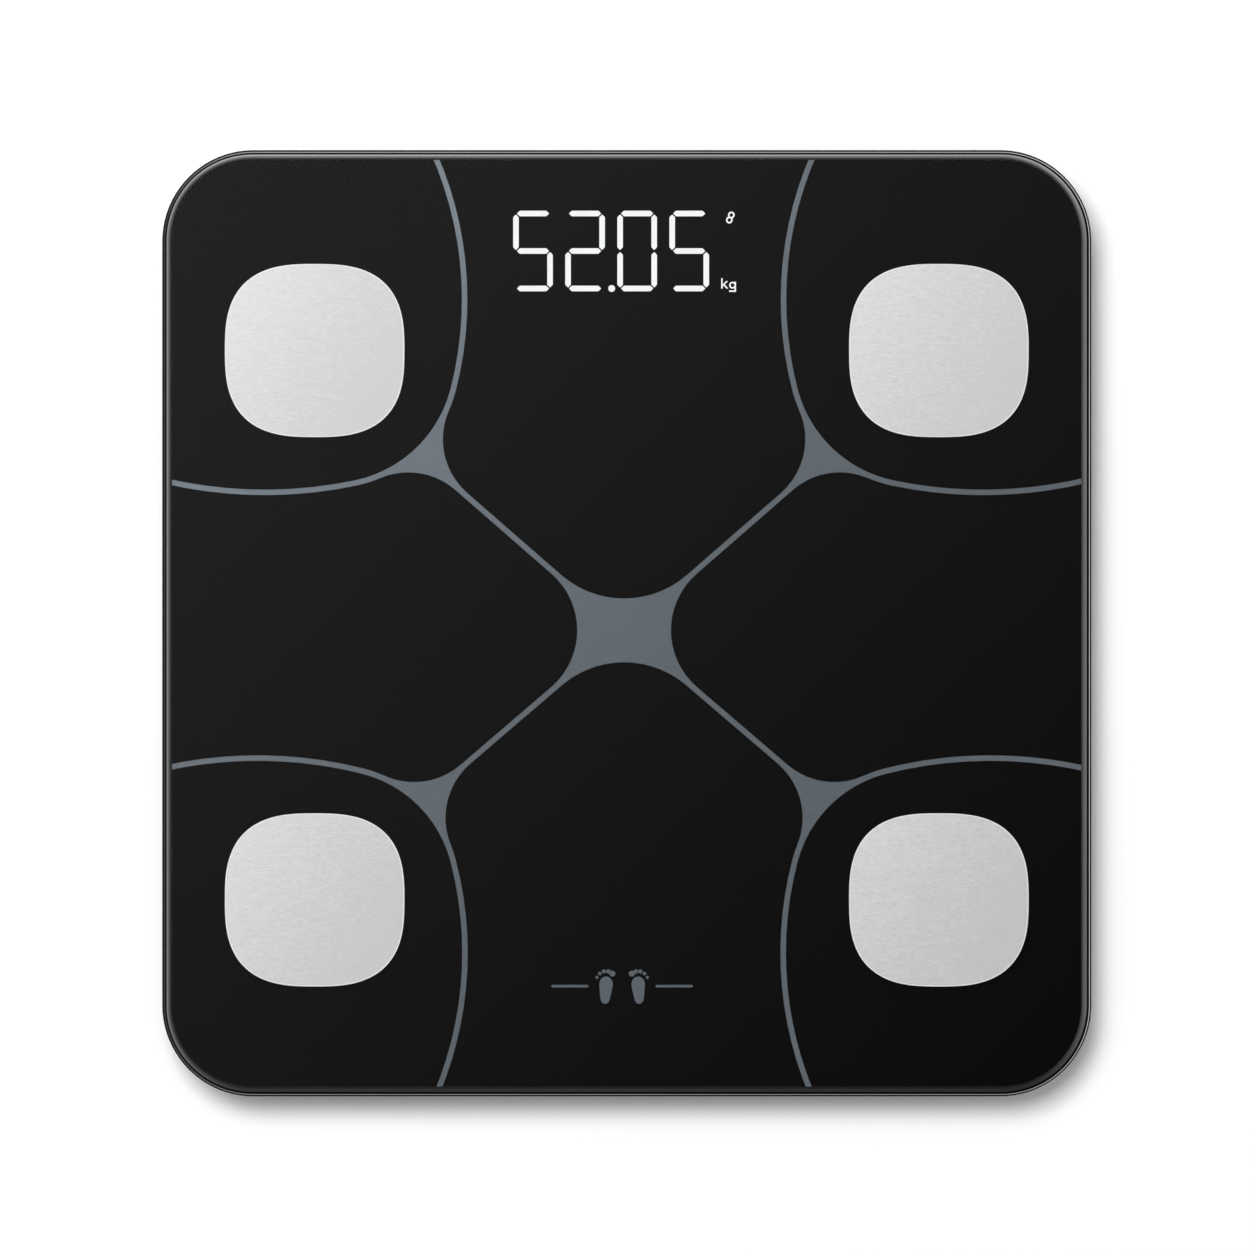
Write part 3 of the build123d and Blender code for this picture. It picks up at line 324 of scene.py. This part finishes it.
def ink(name, colour, slant=0.0):
    """Screen print seen through the glass it lies on, with no gloss of its own.

    The slant is painted light: it makes the print lighter towards the upper left of the plate, where the
    light comes from, along a curve that steepens.
    """
    shader = Shader(name, colour, roughness=0.9, specular=0.0)
    # Painted light: the print grows lighter towards the upper left of the plate.
    corner = shader.corner()
    curve = shader.maths("MULTIPLY", shader.maths("MULTIPLY", corner, corner), PAINTED_LIGHT_CURVE * slant)
    level = shader.maths("ADD", shader.maths("MULTIPLY_ADD", corner, slant, 1.0), curve)
    grain = shader.spread(shader.noise(700, detail=4), 0.96, 1.04)
    shade = shader.nodes.new("ShaderNodeVectorMath")
    shade.operation = "SCALE"
    shade.inputs["Vector"].default_value = colour
    shader.links.new(shader.maths("MULTIPLY", level, grain), shade.inputs["Scale"])
    shader.links.new(shade.outputs["Vector"], shader.surface.inputs["Base Color"])
    shader.vary_roughness(shader.noise(300, detail=2), low=0.85, high=0.95)
    return shader.material


# The round-over's painted reflection band, painted highlight line and painted dark edge, by depth below
# the top face.
# BY_LEAN numbers are what is added for each unit of lean, which is 1.4 where the edge faces the upper
# left and -1.4 at the lower right.
# Painted reflection: a bright band on the round-over next to the top face.
REFLECTED_BAND_REACH = 0.325 * MM
REFLECTED_BAND_REACH_BY_LEAN = 0.125 * MM
REFLECTED_BAND_POWER = 0.75
REFLECTED_BAND_POWER_BY_LEAN = 0.3
REFLECTED_BAND_END = (0.4 * MM, 0.5 * MM)
REFLECTED_BAND_BY_CORNER = 0.12
# Painted highlight: a thin bright line across the round-over.
HIGHLIGHT_LINE_START = (0.93 * MM, 1.0 * MM)
HIGHLIGHT_LINE_END = (1.24 * MM, 1.31 * MM)
HIGHLIGHT_LINE_LIFT_BY_LEAN = 0.06 * MM
REFLECTED_BAND_TONE = (0.176, -0.021, 0.147)  # the tone itself, and what the edge's X and Y add to it
HIGHLIGHT_LINE_TONE = (0.29, 0.25, 0.0)
PAINTED_EDGE_TONE = 0.0065
# Painted dark edge: the grey under the painted bands, a little lighter where the edge faces the upper
# left.
PAINTED_EDGE_TONE_BY_LEAN = 0.0025
PAINTED_RIM_START = (0.001 * MM, 0.004 * MM)
# Where the round-over is drawn as a matte surface that carries the painted light.
PAINTED_RIM_END = (2.9 * MM, 3.3 * MM)


def painted_rim_tone(shader, depth):
    """Grey level of the round-over, all painted light: a painted reflection band next to the top face,
    then a painted highlight line, over a dark painted edge.

    Both follow the side that the edge faces, and grow a little towards the upper left of the plate.
    """
    outward = shader.vector_maths("MULTIPLY", shader.facing, (1, 1, 0))
    side_x, side_y, _ = shader.axes(shader.vector_maths("NORMALIZE", outward))
    lean = shader.maths("SUBTRACT", side_y, side_x)

    # Painted reflection band, shaped by the side the edge faces.
    reach = shader.maths("MULTIPLY_ADD", lean, REFLECTED_BAND_REACH_BY_LEAN, REFLECTED_BAND_REACH)
    power = shader.maths("MULTIPLY_ADD", lean, REFLECTED_BAND_POWER_BY_LEAN, REFLECTED_BAND_POWER)
    reached = shader.maths("MINIMUM", shader.maths("DIVIDE", depth, reach), 1.0)
    reflected_band = shader.maths("POWER", reached, power)
    reflected_band = shader.maths("MULTIPLY", reflected_band, shader.fall(depth, *REFLECTED_BAND_END))
    growth = shader.maths("MULTIPLY_ADD", shader.corner(), REFLECTED_BAND_BY_CORNER, 1.0)
    reflected_band = shader.maths("MULTIPLY", reflected_band, growth)

    # Painted highlight line, lifted or lowered by the side the edge faces.
    highlight_line_depth = shader.maths("MULTIPLY_ADD", lean, HIGHLIGHT_LINE_LIFT_BY_LEAN, depth)
    highlight_line_start = shader.rise(highlight_line_depth, *HIGHLIGHT_LINE_START)
    highlight_line = shader.maths("MULTIPLY", highlight_line_start, shader.fall(highlight_line_depth, *HIGHLIGHT_LINE_END))

    # Painted dark edge, a little lighter where the edge faces the upper left; the painted bands are
    # added on top.
    tone = shader.maths("MULTIPLY_ADD", lean, PAINTED_EDGE_TONE_BY_LEAN, PAINTED_EDGE_TONE)
    for band, (level, by_x, by_y) in ((reflected_band, REFLECTED_BAND_TONE), (highlight_line, HIGHLIGHT_LINE_TONE)):
        leaning = shader.maths("MULTIPLY_ADD", side_x, by_x, level)
        leaning = shader.maths("MULTIPLY_ADD", side_y, by_y, leaning)
        tone = shader.maths("MULTIPLY_ADD", band, leaning, tone)
    shade = shader.nodes.new("ShaderNodeCombineColor")
    for channel in shade.inputs:
        shader.links.new(tone, channel)
    return shade.outputs["Color"]


def glass(name):
    """Clear glass with a mirror-smooth top that lets lamp light through; its round-over is a matte
    surface painted with a reflection band, a highlight line and a dark edge.
    """
    shader = Shader(name, (0.985, 0.995, 0.99), roughness=0.0)
    shader.surface.inputs["IOR"].default_value = 1.5
    shader.surface.inputs["Transmission Weight"].default_value = 1.0
    height = shader.axes(shader.place)[2]
    depth = shader.maths("SUBTRACT", plate_top_z, height)
    # The round-over is drawn as a matte surface whose grey is painted light: reflections, a highlight
    # line and a dark edge.
    painted_rim = shader.nodes.new("ShaderNodeBsdfDiffuse")
    shader.links.new(painted_rim_tone(shader, depth), painted_rim.inputs["Color"])
    painted_rim_start = shader.rise(depth, *PAINTED_RIM_START)
    painted_rim_share = shader.maths("MULTIPLY", painted_rim_start, shader.fall(depth, *PAINTED_RIM_END))
    body = shader.mix_surfaces(painted_rim_share, shader.surface.outputs["BSDF"], painted_rim.outputs["BSDF"])
    in_shadow = shader.nodes.new("ShaderNodeLightPath").outputs["Is Shadow Ray"]
    shader.show(shader.mix_surfaces(in_shadow, body, shader.transparent((0.93, 0.94, 0.935))))
    return shader.material


def lit_white(name, strength):
    """A light pipe lit from behind, with a slightly uneven glow."""
    unevenness = 0.03
    shader = Shader(name, (0.02, 0.02, 0.02), roughness=0.5, specular=0.0)
    low = strength * (1 - unevenness)
    high = strength * (1 + unevenness)
    glow = shader.spread(shader.noise(400, detail=2), low, high)
    shader.links.new(glow, shader.surface.inputs["Emission Strength"])
    shader.surface.inputs["Emission Color"].default_value = (0.98, 0.99, 1.0, 1)
    return shader.material


# ---------------------------------------------------------------- finishes of the CAD nodes


def dress(material, *nodes):
    """Gives CAD nodes their finish."""
    for node in nodes:
        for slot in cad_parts[node].material_slots:
            slot.material = material


def each(stem):
    """The four nodes of a kind, one for each corner of the scale."""
    return [f"{stem}_{corner}" for corner in CORNERS]


def dress_nodes():
    """Plastics and wire jackets by colour and roughness, then rubbers, then metals."""
    plastics = (
        ("black_abs", (0.032, 0.032, 0.034), 0.46, ["base_housing", "battery_door"]),
        ("cup_abs", (0.04, 0.04, 0.042), 0.4, each("foot_cup")),
        ("button_abs", (0.16, 0.16, 0.165), 0.4, ["unit_button"]),
        ("carrier_nylon", (0.5, 0.5, 0.48), 0.55, each("cell_carrier")),
        ("natural_nylon", (0.78, 0.76, 0.7), 0.45, ["electrode_bushes", "board_connectors"]),
        ("chip_epoxy", (0.02, 0.02, 0.02), 0.55, ["board_chips", "unit_switch", "switch_plunger"]),
        ("display_block", (0.03, 0.03, 0.03), 0.6, ["display_reflector"]),
        ("dark_epoxy", (0.02, 0.02, 0.022), 0.25, ["unlit_segments"]),
        ("gauge_sealant", (0.72, 0.68, 0.55), 0.2, ["strain_gauges"]),
        ("solder_mask", (0.015, 0.13, 0.055), 0.25, ["main_board"]),
        ("battery_sleeve", (0.05, 0.12, 0.28), 0.25, ["battery_1", "battery_2", "battery_3"]),
        ("white_jacket", (0.72, 0.72, 0.7), 0.4, each("cell_lead")),
        ("blue_jacket", (0.03, 0.1, 0.38), 0.4, each("electrode_lead")),
        ("red_jacket", (0.5, 0.02, 0.02), 0.4, ["battery_lead_positive"]),
        ("black_jacket", (0.02, 0.02, 0.02), 0.4, ["battery_lead_negative"]),
    )
    for name, colour, roughness, nodes in plastics:
        dress(moulded_plastic(name, colour, roughness), *nodes)

    dress(soft_rubber("pad_rubber", (0.075, 0.075, 0.078)), *each("foot_pad"))
    dress(soft_rubber("foam_tape", (0.02, 0.02, 0.021)), "perimeter_tape", "carrier_tapes")

    zinc = plated_metal("zinc_plate", (0.66, 0.68, 0.7), 0.3)
    dress(zinc, "carrier_screws", "board_screws", "electrode_nuts")
    nickel = plated_metal("nickel_plate", (0.68, 0.66, 0.62), 0.22)
    dress(nickel, "battery_springs", "battery_contacts")
    dress(plated_metal("tinned_brass", (0.7, 0.69, 0.66), 0.3), "electrode_terminals")
    rolled = plated_metal("cell_steel", (0.56, 0.56, 0.56), 0.34, stretch=(1, 30, 1))
    dress(rolled, *each("load_cell"))
    dress(brushed_steel("brushed_steel", (0.752, 0.752, 0.756)), *each("electrode"))


# ---------------------------------------------------------------- pieces that stand for CAD nodes

BLACK_RISE = 0.06 * MM
LIT_RISE = 0.072 * MM
GREY_RISE = 0.138 * MM


def link_piece(name, mesh, material, slot, *nodes):
    """A piece of the root body that stands for CAD nodes."""
    piece = bpy.data.objects.new(name, mesh)
    bpy.context.collection.objects.link(piece)
    piece.data.materials.clear()
    piece.data.materials.append(material)
    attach(piece, "root")
    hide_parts(*nodes)


def raised_print(node, name, material, slot, rise):
    """A copy of a printed layer, raised into the glass so that no air is left between them."""
    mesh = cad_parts[node].data.copy()
    for vertex in mesh.vertices:
        vertex.co.z += rise
    link_piece(name, mesh, material, slot, node)


def make_prints():
    """The back print, the display's window and what is lit in it."""
    black = ink("black_print", (0.0009, 0.0009, 0.001))
    # The grey print's slant is painted light, lighter towards the upper left.
    grey = ink("grey_print", (0.131, 0.150, 0.171), slant=0.19)
    white = lit_white("lit_white", strength=0.95)
    raised_print("print_grey", "grey_layer", grey, "grey_ink", GREY_RISE)
    raised_print("print_black", "black_layer", black, "black_ink", BLACK_RISE)
    raised_print("display_window", "window_layer", black, "display_film", BLACK_RISE)
    raised_print("lit_segments", "lit_digits", white, "lit_pipe", LIT_RISE)
    raised_print("lit_marks", "lit_signs", white, "lit_pipe", LIT_RISE)


ROUND_OVER = 3.0 * MM
ARRIS = 0.5 * MM
ROUND_OVER_STEPS = 12
CORNER_STEPS = 20


def plate_ring(mesh, inset, z):
    """One ring of points round the plate's outline, drawn in by the inset."""
    radius = plate_corner_radius - inset
    points = []
    for quarter, (side_x, side_y) in enumerate(((1, 1), (-1, 1), (-1, -1), (1, -1))):
        centre_x = side_x * (plate_half_x - plate_corner_radius)
        centre_y = side_y * (plate_half_y - plate_corner_radius)
        for step in range(CORNER_STEPS + 1):
            turn = math.pi / 2 * (quarter + step / CORNER_STEPS)
            x = centre_x + radius * math.cos(turn)
            y = centre_y + radius * math.sin(turn)
            points.append(mesh.verts.new((x, y, z)))
    return points


def bridge(mesh, lower, upper):
    """A band of faces between two rings."""
    count = len(lower)
    for i in range(count):
        j = (i + 1) % count
        mesh.faces.new((lower[i], lower[j], upper[j], upper[i]))


def make_glass_plate():
    """The plate with a smooth round-over above and a narrow arris below."""
    mesh = bmesh.new()
    rings = [plate_ring(mesh, ARRIS, plate_bottom_z), plate_ring(mesh, 0, plate_bottom_z + ARRIS)]
    for step in range(ROUND_OVER_STEPS + 1):
        turn = math.pi / 2 * step / ROUND_OVER_STEPS
        inset = ROUND_OVER * (1 - math.cos(turn))
        z = plate_top_z - ROUND_OVER * (1 - math.sin(turn))
        rings.append(plate_ring(mesh, inset, z))
    for lower, upper in zip(rings, rings[1:]):
        bridge(mesh, lower, upper)
    mesh.faces.new(list(reversed(rings[0])))
    mesh.faces.new(rings[-1])
    for face in mesh.faces:
        face.smooth = len(face.verts) == 4
    data = bpy.data.meshes.new("glass_body")
    mesh.to_mesh(data)
    mesh.free()
    link_piece("glass_body", data, glass("clear_glass"), "clear_glass", "glass_plate")


# ---------------------------------------------------------------- stage

FLOOR_HALF = 4.0

KEY_PLACE = (-0.22, 0.37, 1.5)
KEY_SIZE = 0.52
KEY_POWER = 18

# The light tent's parts from straight up to straight down. EDGE pairs are where one part fades
# into the next, as the sine of the angle from straight up.
TENT_HOLE = (0.0, 0.9)  # its darkest and its lightest side
TENT_HOLE_SHADING = (-0.34, 0.62)  # between these values of Y minus X
TENT_HOLE_EDGE = (0.095, 0.15)
TENT_RING = 1.12
TENT_RING_BY_X = -1.2
TENT_RING_BY_Y = 1.7
TENT_RING_EDGE = (0.4, 0.62)
TENT_WALL = 0.22
TENT_WALL_FOOT = 0.95
TENT_WALL_EDGE = (0.94, 0.99)
TENT_HORIZON = (-0.03, 0.0)
TENT_BELOW = 1.15


def make_floor():
    """A plain pale floor, open from below so that the underside can be looked at."""
    half = FLOOR_HALF
    corners = [(-half, -half, 0), (half, -half, 0), (half, half, 0), (-half, half, 0)]
    mesh = bpy.data.meshes.new("floor")
    mesh.from_pydata(corners, [], [(0, 1, 2, 3)])
    floor = bpy.data.objects.new("floor", mesh)
    bpy.context.collection.objects.link(floor)
    shader = Shader("floor", (0.9, 0.9, 0.9), roughness=0.9, specular=0.0)
    from_below = shader.nodes.new("ShaderNodeNewGeometry").outputs["Backfacing"]
    clear = shader.transparent((1, 1, 1))
    shader.show(shader.mix_surfaces(from_below, shader.surface.outputs["BSDF"], clear))
    mesh.materials.append(shader.material)
    floor.visible_shadow = False
    floor.visible_diffuse = False


def make_key_light():
    """A square soft light that looks at the middle of the scale and leaves no glint."""
    data = bpy.data.lights.new("key", "AREA")
    data.shape = "SQUARE"
    data.size = KEY_SIZE
    data.energy = KEY_POWER
    light = bpy.data.objects.new("key", data)
    light.location = KEY_PLACE
    light.rotation_mode = "QUATERNION"
    light.rotation_quaternion = (-Vector(KEY_PLACE)).to_track_quat("-Z", "Y")
    light.visible_glossy = False
    light.visible_transmission = False
    bpy.context.collection.objects.link(light)


def make_world():
    """A light tent: a dark hole round the lens overhead, a bright ring round the hole, dim walls.

    The walls are bright at their foot, and so is what lies below the horizon.
    """
    world = bpy.data.worlds.new("world")
    bpy.context.scene.world = world
    world.use_nodes = True
    tree = Tree(world)
    direction = tree.nodes.new("ShaderNodeTexCoord").outputs["Generated"]
    x, y, z = tree.axes(direction)
    squares = tree.maths("ADD", tree.maths("MULTIPLY", x, x), tree.maths("MULTIPLY", y, y))
    from_zenith = tree.maths("SQRT", squares)

    lean = tree.maths("SUBTRACT", y, x)
    hole = tree.remap(lean, *TENT_HOLE_SHADING, *TENT_HOLE, "SMOOTHERSTEP")
    slant_y = tree.maths("MULTIPLY", y, TENT_RING_BY_Y)
    slant = tree.maths("ADD", slant_y, tree.maths("MULTIPLY", x, TENT_RING_BY_X))
    ring = tree.maths("MULTIPLY", tree.maths("EXPONENT", slant), TENT_RING)
    wall = tree.remap(from_zenith, *TENT_WALL_EDGE, TENT_WALL, TENT_WALL_FOOT, "SMOOTHSTEP")

    upper = tree.blend(tree.rise(from_zenith, *TENT_RING_EDGE), ring, wall)
    upper = tree.blend(tree.rise(from_zenith, *TENT_HOLE_EDGE), hole, upper)
    strength = tree.blend(tree.rise(z, *TENT_HORIZON), TENT_BELOW, upper)
    background = tree.nodes["Background"]
    background.inputs["Color"].default_value = (1, 1, 1, 1)
    tree.links.new(strength, background.inputs["Strength"])


# ---------------------------------------------------------------- the scene

make_camera()
make_floor()
make_world()
make_key_light()
dress_nodes()
make_prints()
make_glass_plate()

scene = bpy.context.scene
scene.view_settings.view_transform = "Standard"
scene.view_settings.look = "None"
